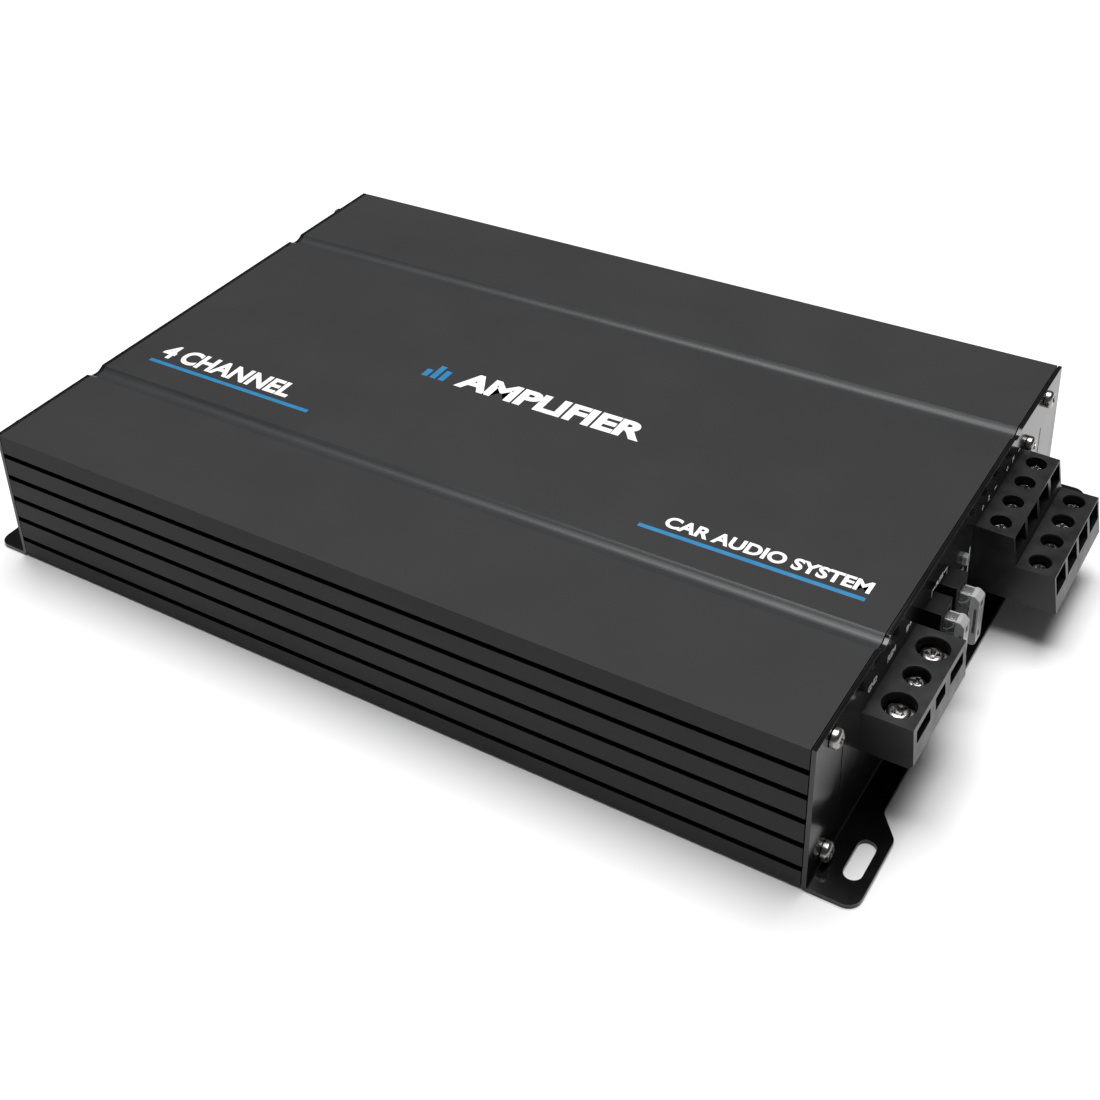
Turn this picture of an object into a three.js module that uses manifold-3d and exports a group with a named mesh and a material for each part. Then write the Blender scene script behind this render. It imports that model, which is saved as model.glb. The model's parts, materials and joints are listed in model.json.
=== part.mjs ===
// Four-channel car amplifier: a finned aluminium case closed by two folded steel end plates.
// Millimetres. X runs along the case towards the terminals, Y across it, Z up from the feet.
import * as THREE from 'three';
import { mergeVertices } from 'three/addons/utils/BufferGeometryUtils.js';
import Module from 'manifold-3d';

const wasm = await Module();
wasm.setup();

// Case: an inverted U extrusion with drafted, grooved sides
const CASE_LENGTH = 306.6;
const CASE_WIDTH = 212;
const CASE_FLOOR = 1.4;
const CASE_TOP = 52.2;
const SIDE_DRAFT = 2.1;
const SIDE_WALL = 8;
const TOP_WALL = 3.2;
const GROOVE_COUNT = 5;
const GROOVE_PITCH = 9;
const GROOVE_BELOW_TOP = 8.35;
const GROOVE_WIDTH = 2;
const GROOVE_DEPTH = 4.5;
const COVE_FROM_SIDE = 43.9;
const COVE_WIDTH = 7.5;
const COVE_DEPTH = 1.5;
const FOOT_RAIL_WIDTH = 15;
const FOOT_RAIL_HEIGHT = 8;
const PORT_RADIUS = 1.6;
const PORTS = {
  lowNear: [9.4, 5.6], lowFar: [CASE_WIDTH - 9.4, 5.6], topNear: [11, 48], topFar: [195, 48.6],
};
const RIB_PORT = [176.9, 40.6];
const RIB_HALF = 3;
const NEAR_PORT_RAIL = 15;
const FAR_PORT_RAIL = 21.5;
const PORT_RAIL_DROP = 4.4;

// Clearance between pieces that touch on the real object
const FIT_GAP = 0.3;

// End plates: steel folded outwards into two slotted feet
const PLATE_THICKNESS = 1.4;
const FOLD_RADIUS = 2;
const FLANGE_REACH = 9.9;
const TERMINAL_EAR_REACH = 16.6;
const INPUT_EAR_REACH = 14.8;
const EAR_LENGTH = 31;
const EAR_SLOT = { width: 5.6, length: 15.6, fromSide: 14.5, fromCase: 10.8 };
const SLIT = { width: 0.8, low: 16, high: 37.4, fromSide: 19 };

// Fixing screws of the end plates
const FIXING_HEAD_RADIUS = 3.1;
const FIXING_HEAD_HEIGHT = 2.6;
const FIXING_SHANK_RADIUS = 1.5;
const FIXING_LENGTH = 10;

// Circuit board and bottom cover
const BOARD_TOP = 15.6;
const BOARD_THICKNESS = 1.6;
const COVER_SLOT_FLOOR = 2.6;
const COVER_SLOT_DEPTH = 2.6;
const COVER_THICKNESS = 1.2;

// Power terminal block; x positions count from the outer face of the plate. The heights of a pole
// count down from the top of its well: mouth, ceiling and floor of its cavity, end of its thread
const POWER = {
  near: 32.1, far: 74.3, low: 24.3, top: 39, reachTop: 15.2, reachLow: 16.1, screwX: 8,
  mouthTop: 2.2, ceiling: 2.6, floor: 6.8, bore: 13.6,
  headDrop: 2.1, headHeight: 2.1, tip: 11, plateDepth: 8, plateThickness: 0.9,
  poles: [
    { name: 'ground', y: 39.9, hole: 4.85, mouth: 10.6, head: 3.55, shank: 1.9 },
    { name: 'remote', y: 53.2, hole: 3.8, mouth: 7.8, head: 2.9, shank: 1.5 },
    { name: 'battery', y: 66.4, hole: 4.85, mouth: 10.6, head: 3.55, shank: 1.9 },
  ],
};

// Speaker terminal block: two stepped tiers of four poles
const SPEAKER = {
  near: 125.1, far: 173.3, low: 15.9, step: 29.7, top: 40.9, frontTop: 40.4,
  reachTop: 12.5, reachStep: 14.25, reachLowTop: 26.85, reachLow: 28.9,
  pitch: 12.05, hole: 3.4, head: 2.7, mouth: 9.8, shank: 1.3, ceiling: 3, bore: 13,
  headDrop: 2.6, headHeight: 1.6, tip: 10.6, plateDepth: 6, plateThickness: 0.8,
  tiers: [
    { name: 'upper', screwX: 6.4, top: 40.9, faceX: 14.4, mouthTop: 1.1, floor: 8 },
    { name: 'lower', screwX: 20.3, top: 29.7, faceX: 29, mouthTop: 0.6, floor: 7.5 },
  ],
};
const BLOCK_DEPTH = 10;
const PLATE_CLEARANCE = 0.4;

// Fuses and their holders
const FUSES = [{ name: 'near', y: 84.7 }, { name: 'far', y: 98.3 }];
const HOLDER = { width: 9.6, low: 15.9, high: 40.2, reach: 5.5, depth: 16 };
const FUSE = {
  width: 19.1, thickness: 5.1, reach: 12.1, length: 11.9,
  bladeDepth: 7, bladeWidth: 5.2, linkX: 4, centreZ: 27.8,
};

// Status lamp
const LED = { y: 116, z: 34, width: 2.8, height: 3.4, reach: 1.6 };

// Input end: phono sockets, level controls and mode switches
const RCA = { ys: [36, 52], zs: [24, 40], sleeveRadius: 4.15, boreRadius: 1.7, reach: 8.8 };
const KNOBS = [
  { name: 'front_gain', y: 84 }, { name: 'rear_gain', y: 106 }, { name: 'crossover', y: 128 },
];
const KNOB = { z: 31, radius: 4.6, reach: 5.2, shaftRadius: 1.7 };
const SWITCHES = [{ name: 'front_filter', y: 152 }, { name: 'rear_filter', y: 176 }];
const SWITCH = { z: 31, travel: 4, nubWidth: 4, nubHeight: 4, reach: 2.6, slotHeight: 5 };

// Inner components standing on the board
const TOROID = { x: 190, y: 106, outer: 23, inner: 9, height: 20 };
const CAPACITORS = [{ name: 'near', y: 44 }, { name: 'far', y: 162 }];
const CAPACITOR = { x: 232, radius: 9, height: 28 };

const PLATE_FACE = CASE_LENGTH + FIT_GAP + PLATE_THICKNESS;
const INPUT_FACE = -FIT_GAP - PLATE_THICKNESS;
const CENTRE_X = (PLATE_FACE + SPEAKER.reachLow - INPUT_EAR_REACH) / 2;

const materials = {
  case_aluminium: [0x444444, 0.35, 0.7],
  plate_steel: [0x1c1d1e, 0.3, 0.5],
  screw_steel: [0xc8c8c4, 0.25, 1],
  terminal_plastic: [0x2a2b2c, 0.6, 0],
  terminal_metal: [0xb9b6ac, 0.3, 1],
  fuse_plastic: [0xd8d8d2, 0.15, 0],
  fuse_metal: [0xb4b4b8, 0.3, 1],
  holder_plastic: [0x121212, 0.6, 0],
  lamp_lens: [0xaeb6ba, 0.2, 0],
  socket_metal: [0xcaa24a, 0.3, 1],
  knob_plastic: [0x1a1a1a, 0.5, 0],
  board_laminate: [0x1d4a2c, 0.6, 0],
  core_winding: [0xa5622c, 0.4, 0.3],
  capacitor_sleeve: [0x222a44, 0.5, 0],
};

const group = new THREE.Group();

function addPart(name, slot, solid) {
  const { numProp, vertProperties, triVerts } = solid.getMesh();
  const geometry = new THREE.BufferGeometry();
  const count = vertProperties.length / numProp;
  const position = new Float32Array(count * 3);
  for (let i = 0; i < count; i += 1) {
    for (let k = 0; k < 3; k += 1) position[3 * i + k] = vertProperties[numProp * i + k];
  }
  geometry.setAttribute('position', new THREE.BufferAttribute(position, 3));
  geometry.setIndex(Array.from(triVerts));
  geometry.translate(-CENTRE_X, -CASE_WIDTH / 2, 0);
  geometry.computeVertexNormals();
  const [color, roughness, metalness] = materials[slot];
  const material = new THREE.MeshStandardMaterial({ color, roughness, metalness });
  material.name = slot;
  const mesh = new THREE.Mesh(geometry, material);
  mesh.name = name;
  group.add(mesh);
}

function solidOf(geometry) {
  geometry.deleteAttribute('normal');
  geometry.deleteAttribute('uv');
  const merged = mergeVertices(geometry, 1e-5);
  return new wasm.Manifold(new wasm.Mesh({
    numProp: 3,
    vertProperties: new Float32Array(merged.attributes.position.array),
    triVerts: new Uint32Array(merged.index.array),
  }));
}

function basis(...axes) {
  return new THREE.Matrix4().makeBasis(...axes.map((axis) => new THREE.Vector3(...axis)));
}

function flat(points) {
  return points.map(([a, b]) => new THREE.Vector2(a, b));
}

function extrude(points, depth, matrix, holes = []) {
  const shape = new THREE.Shape(flat(points));
  for (const hole of holes) shape.holes.push(new THREE.Path(flat(hole)));
  const geometry = new THREE.ExtrudeGeometry(shape, { depth, bevelEnabled: false, steps: 1 });
  return solidOf(geometry.applyMatrix4(matrix));
}

// Outline in Y and Z, run from x0 to x1
function alongX(points, x0, x1, holes) {
  return extrude(points, x1 - x0, basis([0, 1, 0], [0, 0, 1], [1, 0, 0]), holes).translate([x0, 0, 0]);
}

// Outline in X and Z, run from y0 to y1
function alongY(points, y0, y1) {
  return extrude(points, y1 - y0, basis([1, 0, 0], [0, 0, 1], [0, -1, 0])).translate([0, y1, 0]);
}

// Outline in X and Y, run from z0 to z1
function alongZ(points, z0, z1) {
  return extrude(points, z1 - z0, new THREE.Matrix4()).translate([0, 0, z0]);
}

function box(x0, x1, y0, y1, z0, z1) {
  const geometry = new THREE.BoxGeometry(x1 - x0, y1 - y0, z1 - z0);
  return solidOf(geometry.translate((x0 + x1) / 2, (y0 + y1) / 2, (z0 + z1) / 2));
}

// Profile of [radius, height] pairs turned about Z
function turned(profile, segments) {
  return solidOf(new THREE.LatheGeometry(flat(profile), segments).rotateX(Math.PI / 2));
}

function rod(radius, low, high, segments = 16) {
  return turned([[0, low], [radius, low], [radius, high], [0, high]], segments);
}

function toX(solid) {
  return solid.rotate([0, 90, 0]);
}

function cut(solid, tools) {
  return tools.reduce((rest, tool) => rest.subtract(tool), solid);
}

function circle(y, z, radius, segments = 12) {
  const points = [];
  for (let i = 0; i < segments; i += 1) {
    const a = (2 * Math.PI * i) / segments;
    points.push([y + radius * Math.cos(a), z + radius * Math.sin(a)]);
  }
  return points;
}

// Polygon of [x, y, radius] corners with the corners rounded
function rounded(corners, steps = 5) {
  const points = [];
  corners.forEach(([x, y, radius = 0], i) => {
    const [ax, ay] = corners[(i + corners.length - 1) % corners.length];
    const [bx, by] = corners[(i + 1) % corners.length];
    if (!radius) {
      points.push([x, y]);
      return;
    }
    const before = new THREE.Vector2(ax - x, ay - y).normalize();
    const after = new THREE.Vector2(bx - x, by - y).normalize();
    const half = Math.acos(THREE.MathUtils.clamp(before.dot(after), -1, 1)) / 2;
    const middle = before.clone().add(after).normalize();
    const centre = middle.multiplyScalar(radius / Math.sin(half));
    const reach = radius / Math.tan(half);
    const from = before.multiplyScalar(reach).sub(centre).angle();
    let sweep = after.multiplyScalar(reach).sub(centre).angle() - from;
    if (sweep > Math.PI) sweep -= 2 * Math.PI;
    if (sweep < -Math.PI) sweep += 2 * Math.PI;
    for (let k = 0; k <= steps; k += 1) {
      const a = from + (sweep * k) / steps;
      points.push([x + centre.x + radius * Math.cos(a), y + centre.y + radius * Math.sin(a)]);
    }
  });
  return points;
}

function sideY(z) {
  return (-SIDE_DRAFT * (CASE_TOP - z)) / (CASE_TOP - CASE_FLOOR);
}

function mirrored(points) {
  return points.map(([y, z]) => [CASE_WIDTH - y, z]).reverse();
}

// Half of the top outline: near edge, then the cove
function nearTop() {
  const radius = (COVE_WIDTH ** 2 / 4 + COVE_DEPTH ** 2) / (2 * COVE_DEPTH);
  const half = Math.asin(COVE_WIDTH / 2 / radius);
  const middle = COVE_FROM_SIDE + COVE_WIDTH / 2;
  const points = [[0, CASE_TOP]];
  for (let k = 0; k <= 8; k += 1) {
    const a = -half + (half * k) / 4;
    const z = CASE_TOP - COVE_DEPTH + radius * (1 - Math.cos(a));
    points.push([middle + radius * Math.sin(a), Math.min(z, CASE_TOP)]);
  }
  return points;
}

function nearSide() {
  const points = [[sideY(CASE_FLOOR), CASE_FLOOR]];
  for (let i = GROOVE_COUNT - 1; i >= 0; i -= 1) {
    const z = CASE_TOP - GROOVE_BELOW_TOP - i * GROOVE_PITCH;
    const [low, high] = [z - GROOVE_WIDTH / 2, z + GROOVE_WIDTH / 2];
    points.push([sideY(low), low], [sideY(z) + GROOVE_DEPTH, low]);
    points.push([sideY(z) + GROOVE_DEPTH, high], [sideY(high), high]);
  }
  return points;
}

// Inner outline of one half: top port rail, wall, and foot rail with the slot of the cover
function insideHalf(portRailWidth) {
  const ceiling = CASE_TOP - TOP_WALL;
  const portRailLow = ceiling - PORT_RAIL_DROP;
  const railTop = CASE_FLOOR + FOOT_RAIL_HEIGHT;
  const slotTop = COVER_SLOT_FLOOR + COVER_THICKNESS + 0.6;
  const slotBack = FOOT_RAIL_WIDTH - COVER_SLOT_DEPTH;
  return [
    [portRailWidth + 2, ceiling], [portRailWidth, portRailLow], [SIDE_WALL, portRailLow],
    [SIDE_WALL, railTop], [FOOT_RAIL_WIDTH, railTop], [FOOT_RAIL_WIDTH, slotTop], [slotBack, slotTop],
    [slotBack, COVER_SLOT_FLOOR], [FOOT_RAIL_WIDTH, COVER_SLOT_FLOOR], [FOOT_RAIL_WIDTH, CASE_FLOOR],
  ];
}

function buildCase() {
  const near = [...nearSide(), ...nearTop()];
  const [ribY, ribZ] = RIB_PORT;
  const ceiling = CASE_TOP - TOP_WALL;
  const [ribNear, ribFar, ribLow] = [ribY - RIB_HALF, ribY + RIB_HALF, ribZ - RIB_HALF - 0.4];
  const rib = [[ribFar, ceiling], [ribFar, ribLow], [ribNear, ribLow], [ribNear, ceiling]];
  const farInside = mirrored(insideHalf(FAR_PORT_RAIL));
  const outline = [...near, ...mirrored(near), ...farInside, ...rib, ...insideHalf(NEAR_PORT_RAIL)];
  const holes = [...Object.values(PORTS), RIB_PORT].map(([y, z]) => circle(y, z, PORT_RADIUS));
  addPart('case_extrusion', 'case_aluminium', alongX(outline, 0, CASE_LENGTH, holes));
}

// Plate outline in Y and Z, standing on the ground plane
function plateOutline() {
  const near = [[sideY(0), 0], ...nearTop()];
  return [...near, ...mirrored(near)];
}

// Foot outline: u counts outwards from the case end
function footOutline(reach) {
  const low = sideY(0);
  const near = [
    [0, low], [reach, low, 4.5], [reach, low + EAR_LENGTH - 3, 3.5],
    [FLANGE_REACH, low + EAR_LENGTH + 5.5, 5],
  ];
  const far = near.map(([u, y, r]) => [u, CASE_WIDTH - y, r]).reverse();
  return rounded([...near, ...far]);
}

function foldedPlate(reach) {
  const inner = FIT_GAP;
  const outer = FIT_GAP + PLATE_THICKNESS;
  const section = rounded([
    [inner, 0, FOLD_RADIUS], [reach, 0], [reach, PLATE_THICKNESS],
    [outer, PLATE_THICKNESS, FOLD_RADIUS - PLATE_THICKNESS], [outer, CASE_TOP], [inner, CASE_TOP],
  ]);
  const folded = alongY(section, -5, CASE_WIDTH + 5);
  const shaped = folded.intersect(alongX(plateOutline(), 0, reach + 1));
  return shaped.intersect(alongZ(footOutline(reach), -1, CASE_TOP + 1));
}

function bothSides(distance) {
  return [distance, CASE_WIDTH - distance];
}

function slotTools(reach) {
  const { width, length, fromSide, fromCase } = EAR_SLOT;
  const u = fromCase + (reach - TERMINAL_EAR_REACH);
  const [w, l] = [width / 2, length / 2];
  const corners = [[-w, -l], [w, -l], [w, l], [-w, l]];
  return bothSides(fromSide).map((y) => {
    const outline = corners.map(([a, b]) => [u + a, y + b, w - 0.01]);
    return alongZ(rounded(outline, 6), -1, 3);
  });
}

// Opening through a plate, in Y and Z, that clears a box of the given size
function windowTool(y0, y1, z0, z1, clearance = FIT_GAP) {
  return box(-1, 4, y0 - clearance, y1 + clearance, z0 - clearance, z1 + clearance);
}

function slitTools() {
  const { width, low, high, fromSide } = SLIT;
  return bothSides(fromSide).map((y) => windowTool(y - width / 2, y + width / 2, low, high, 0));
}

// Round hole through a plate
function portTool(y, z, radius, segments = 16) {
  return toX(rod(radius, -2, 4, segments)).translate([0, y, z]);
}

function commonPlateTools(reach, ports) {
  const holes = ports.map(([y, z]) => portTool(y, z, FIXING_SHANK_RADIUS + FIT_GAP, 12));
  return [...holes, ...slotTools(reach), ...slitTools()];
}

function buildTerminalPlate() {
  const [lampY, lampZ, holderY] = [LED.width / 2, LED.height / 2, HOLDER.width / 2];
  const tools = [
    ...commonPlateTools(TERMINAL_EAR_REACH, [...Object.values(PORTS), RIB_PORT]),
    windowTool(POWER.near, POWER.far, POWER.low, POWER.top),
    windowTool(SPEAKER.near, SPEAKER.far, SPEAKER.low, SPEAKER.top),
    windowTool(LED.y - lampY, LED.y + lampY, LED.z - lampZ, LED.z + lampZ, 0.2),
    ...FUSES.map(({ y }) => windowTool(y - holderY, y + holderY, HOLDER.low, HOLDER.high)),
  ];
  const plate = cut(foldedPlate(TERMINAL_EAR_REACH), tools);
  addPart('terminal_end_plate', 'plate_steel', plate.translate([CASE_LENGTH, 0, 0]));
}

function buildInputPlate() {
  const { nubWidth, travel, slotHeight } = SWITCH;
  const [slideLow, slideHigh] = [SWITCH.z - slotHeight / 2, SWITCH.z + slotHeight / 2];
  const [before, after] = [nubWidth / 2 + FIT_GAP, nubWidth / 2 + travel + FIT_GAP];
  const tools = [
    ...commonPlateTools(INPUT_EAR_REACH, Object.values(PORTS)),
    ...RCA.ys.flatMap((y) => RCA.zs.map((z) => portTool(y, z, RCA.sleeveRadius + 0.5))),
    ...KNOBS.map(({ y }) => portTool(y, KNOB.z, KNOB.radius + 0.5)),
    ...SWITCHES.map(({ y }) => windowTool(y - before, y + after, slideLow, slideHigh, 0)),
  ];
  addPart('input_end_plate', 'plate_steel', cut(foldedPlate(INPUT_EAR_REACH), tools).mirror([1, 0, 0]));
}

function buildBottomCover() {
  const edge = FOOT_RAIL_WIDTH - COVER_SLOT_DEPTH + FIT_GAP;
  const z = COVER_SLOT_FLOOR + FIT_GAP;
  const cover = box(FIT_GAP, CASE_LENGTH - FIT_GAP, edge, CASE_WIDTH - edge, z, z + COVER_THICKNESS);
  addPart('bottom_cover', 'plate_steel', cover);
}

function crossRecess(size, top, depth) {
  const [l, w] = [size / 2, size / 8];
  return [box(-l, l, -w, w, top - depth, top + 1), box(-w, w, -l, l, top - depth, top + 1)];
}

function fixingScrew() {
  const [r, h] = [FIXING_HEAD_RADIUS, FIXING_HEAD_HEIGHT];
  const profile = [
    [0, -FIXING_LENGTH], [1.1, -FIXING_LENGTH], [FIXING_SHANK_RADIUS, -FIXING_LENGTH + 0.8],
    [FIXING_SHANK_RADIUS, 0.2], [r, 0.2], [r, h * 0.55], [r * 0.86, h * 0.85], [r * 0.5, h], [0, h],
  ];
  return cut(turned(profile, 16), crossRecess(3.4, h, 1.5));
}

function buildFixingScrews() {
  const labels = { lowNear: 'low_near', lowFar: 'low_far', topNear: 'top_near', topFar: 'top_far' };
  for (const [key, [y, z]] of Object.entries(PORTS)) {
    const outward = toX(fixingScrew());
    const inward = outward.mirror([1, 0, 0]);
    addPart(`terminal_plate_screw_${labels[key]}`, 'screw_steel', outward.translate([PLATE_FACE, y, z]));
    addPart(`input_plate_screw_${labels[key]}`, 'screw_steel', inward.translate([INPUT_FACE, y, z]));
  }
  const [y, z] = RIB_PORT;
  addPart('terminal_plate_screw_rib', 'screw_steel', toX(fixingScrew()).translate([PLATE_FACE, y, z]));
}

function buildBoard() {
  const y = SIDE_WALL + 1;
  const board = box(2, CASE_LENGTH - 0.5, y, CASE_WIDTH - y, BOARD_TOP - BOARD_THICKNESS, BOARD_TOP);
  addPart('circuit_board', 'board_laminate', board);
}

// Tools that open one terminal pole: screw well, bore of its thread, wire mouth and clamp chamber
function poleTools(pole) {
  const { x, y, top, face, hole, mouth, shank, mouthTop, ceiling, floor, bore, plateDepth } = pole;
  const [w, base] = [mouth / 2, top - floor];
  const front = x + hole + 0.5;
  const back = x - plateDepth / 2 - PLATE_CLEARANCE;
  return [
    rod(hole, base, top + 1, 20).translate([x, y, 0]),
    rod(shank + 0.4, top - bore, base + 1, 10).translate([x, y, 0]),
    box(front - 0.2, face + 1, y - w, y + w, base, top - mouthTop),
    box(back, front, y - w + 0.4, y + w - 0.4, base, top - ceiling),
  ];
}

// Screw of a clamp: pan head with a cross recess, shank down through the clamp plate
function clampScrew({ top, head, shank, headDrop, headHeight, tip }) {
  const [crown, end] = [top - headDrop, top - tip];
  const shoulder = crown - headHeight;
  const profile = [
    [0, end], [shank - 0.3, end], [shank, end + 0.4], [shank, shoulder], [head, shoulder],
    [head, crown - headHeight * 0.35], [head * 0.8, crown], [0, crown],
  ];
  return cut(turned(profile, 16), crossRecess(head * 1.25, crown, headHeight * 0.6));
}

// Clamp plate: a rectangular washer under the head, its side edges chamfered
function clampPlate({ top, mouth, shank, headDrop, headHeight, plateDepth, plateThickness }) {
  const [w, c] = [mouth / 2 - 0.8, 0.3];
  const high = top - headDrop - headHeight - 0.1;
  const low = high - plateThickness;
  const section = [
    [c - w, low], [w - c, low], [w, low + c], [w, high - c], [w - c, high], [c - w, high],
    [-w, high - c], [-w, low + c],
  ];
  const plate = alongX(section, -plateDepth / 2, plateDepth / 2);
  return plate.subtract(rod(shank + 0.25, low - 1, high + 1, 16));
}

// One pole: adds its screw and clamp plate, and gives the tools that open the block for them
function buildPole(block, tag, pole) {
  const place = [PLATE_FACE + pole.x, pole.y, 0];
  addPart(`${block}_screw_${tag}`, 'screw_steel', clampScrew(pole).translate(place));
  addPart(`${block}_clamp_${tag}`, 'terminal_metal', clampPlate(pole).translate(place));
  return poleTools(pole);
}

function buildPowerBlock() {
  const { near, far, low, top, reachTop, reachLow, screwX, poles } = POWER;
  const base = PLATE_THICKNESS + 0.8;
  const section = [
    [-BLOCK_DEPTH, BOARD_TOP + FIT_GAP], [-base, BOARD_TOP + FIT_GAP], [-base, low],
    [reachLow - 1.4, low], [reachLow, low + 1.4], [reachTop, top], [-BLOCK_DEPTH, top],
  ];
  const tools = poles.flatMap((pole) => (
    buildPole('power', pole.name, { ...POWER, ...pole, x: screwX, face: reachLow })
  ));
  const block = cut(alongY(section, near, far), tools);
  addPart('power_terminal_block', 'terminal_plastic', block.translate([PLATE_FACE, 0, 0]));
}

function speakerSection() {
  const { low, step, top, frontTop, reachTop, reachStep, reachLowTop, reachLow } = SPEAKER;
  return [
    [-BLOCK_DEPTH, low], [reachLow, low], [reachLowTop, step], [reachStep, step],
    [reachTop, frontTop], [0, top], [-BLOCK_DEPTH, top],
  ];
}

function buildSpeakerBlock() {
  const { near, far, pitch, tiers } = SPEAKER;
  const tools = tiers.flatMap((tier) => [1, 2, 3, 4].flatMap((i) => (
    buildPole('speaker', `${tier.name}_${i}`, {
      ...SPEAKER, ...tier, x: tier.screwX, y: near + pitch * (i - 0.5), face: tier.faceX,
    })
  )));
  const block = cut(alongY(speakerSection(), near, far), tools);
  addPart('speaker_terminal_block', 'terminal_plastic', block.translate([PLATE_FACE, 0, 0]));
}

function buildFuses() {
  const { width, thickness, reach, length, bladeDepth, bladeWidth, linkX, centreZ } = FUSE;
  const [low, high] = [centreZ - width / 2, centreZ + width / 2];
  const [inner, t, h] = [reach - length, thickness / 2, HOLDER.width / 2];
  const bodyOutline = rounded([
    [inner, low + 0.8], [reach - 3, low], [reach, low + 2.4, 0.8],
    [reach, high - 2.4, 0.8], [reach - 3, high], [inner, high - 0.8],
  ], 3);
  const [tip, end] = [reach - 2.1, -bladeDepth];
  const [a, d] = [low + 1.5, high - 1.5];
  const [b, c] = [a + bladeWidth, d - bladeWidth];
  const elementOutline = [
    [end, a], [tip, a], [tip, b], [linkX + 0.6, b], [linkX + 0.6, c], [tip, c],
    [tip, d], [end, d], [end, c], [linkX - 0.6, c], [linkX - 0.6, b], [end, b],
  ];
  for (const { name, y } of FUSES) {
    const block = box(-HOLDER.depth, HOLDER.reach, y - h, y + h, HOLDER.low, HOLDER.high);
    const gap = t + FIT_GAP;
    const seat = box(0, HOLDER.reach + 1, y - gap, y + gap, low - FIT_GAP, high + FIT_GAP);
    const clips = [[a, b], [c, d]].map(([z0, z1]) => box(end - 1, 1, y - 0.8, y + 0.8, z0 - 0.4, z1 + 0.4));
    const holder = cut(block, [seat, ...clips]);
    addPart(`fuse_holder_${name}`, 'holder_plastic', holder.translate([PLATE_FACE, 0, 0]));

    const pocket = box(inner - 1, reach - 1.8, y - 0.75, y + 0.75, low + 1.1, high - 1.1);
    const body = alongY(bodyOutline, y - t, y + t).subtract(pocket);
    addPart(`fuse_body_${name}`, 'fuse_plastic', body.translate([PLATE_FACE, 0, 0]));

    const element = alongY(elementOutline, y - 0.33, y + 0.33);
    addPart(`fuse_element_${name}`, 'fuse_metal', element.translate([PLATE_FACE, 0, 0]));
  }
}

function buildLamp() {
  const { y, z, width, height, reach } = LED;
  const outline = rounded([
    [y - width / 2, z - height / 2, 0.5], [y + width / 2, z - height / 2, 0.5],
    [y + width / 2, z + height / 2, 0.5], [y - width / 2, z + height / 2, 0.5],
  ], 3);
  addPart('power_lamp', 'lamp_lens', alongX(outline, PLATE_FACE - 6, PLATE_FACE + reach));
}

function buildSockets() {
  const { ys, zs, sleeveRadius, boreRadius, reach } = RCA;
  const back = INPUT_FACE + PLATE_THICKNESS + FIT_GAP;
  const housing = box(back, back + 14, ys[0] - 8, ys[1] + 8, BOARD_TOP + FIT_GAP, zs[1] + 8);
  const well = toX(rod(sleeveRadius + FIT_GAP, -1, 8, 18));
  const wells = ys.flatMap((y) => zs.map((z) => well.translate([back, y, z])));
  addPart('phono_housing', 'terminal_plastic', cut(housing, wells));
  ys.forEach((y, i) => zs.forEach((z, k) => {
    const sleeve = turned([
      [0, back + 5], [sleeveRadius, back + 5], [sleeveRadius, INPUT_FACE - reach + 0.5],
      [sleeveRadius - 0.5, INPUT_FACE - reach], [boreRadius + 1.3, INPUT_FACE - reach],
      [boreRadius, INPUT_FACE - reach + 1.3], [boreRadius, back + 2], [0, back + 2],
    ].reverse(), 18);
    const level = k === 0 ? 'low' : 'high';
    addPart(`phono_socket_${i + 1}_${level}`, 'socket_metal', toX(sleeve).translate([0, y, z]));
  }));
}

function buildControls() {
  const back = INPUT_FACE + PLATE_THICKNESS + FIT_GAP;
  const { radius, reach, shaftRadius } = KNOB;
  const [w, h] = [SWITCH.nubWidth / 2, SWITCH.nubHeight / 2];
  const [low, high] = [BOARD_TOP + FIT_GAP, KNOB.z + 5.5];
  const block = box(back, back + 12, KNOBS[0].y - 8, SWITCHES[1].y + 12, low, high);
  const shaft = toX(rod(shaftRadius + FIT_GAP, -1, 8));
  const shafts = KNOBS.map(({ y }) => shaft.translate([back, y, KNOB.z]));
  const track = box(back - 1, back + 4, -w - 0.5, w + SWITCH.travel + 0.5, -h - FIT_GAP, h + FIT_GAP);
  const tracks = SWITCHES.map(({ y }) => track.translate([0, y, SWITCH.z]));
  addPart('control_block', 'knob_plastic', cut(block, [...shafts, ...tracks]));

  const outer = INPUT_FACE - reach;
  const body = toX(turned([
    [0, outer], [radius - 0.6, outer], [radius, outer + 0.6],
    [radius, INPUT_FACE + 1], [shaftRadius, INPUT_FACE + 1], [shaftRadius, back + 6], [0, back + 6],
  ], 18));
  const knob = body.subtract(box(outer - 1, outer + 0.8, -0.5, 0.5, 0.8, radius + 1));
  for (const { name, y } of KNOBS) {
    addPart(`${name}_knob`, 'knob_plastic', knob.translate([0, y, KNOB.z]));
  }

  const nub = box(INPUT_FACE - SWITCH.reach, back + 3, -w, w, -h, h);
  for (const { name, y } of SWITCHES) {
    addPart(`${name}_switch`, 'terminal_plastic', nub.translate([0, y, SWITCH.z]));
  }
}

function buildInnerParts() {
  const { x, y, outer, inner, height } = TOROID;
  const low = BOARD_TOP + FIT_GAP;
  const ring = rounded([
    [inner, low, 3], [outer, low, 5], [outer, low + height, 5], [inner, low + height, 3],
  ], 2);
  addPart('toroid_transformer', 'core_winding', turned([...ring, ring[0]], 20).translate([x, y, 0]));
  const can = rod(CAPACITOR.radius, low, low + CAPACITOR.height, 24);
  for (const { name, y: place } of CAPACITORS) {
    addPart(`capacitor_${name}`, 'capacitor_sleeve', can.translate([CAPACITOR.x, place, 0]));
  }
}

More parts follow.
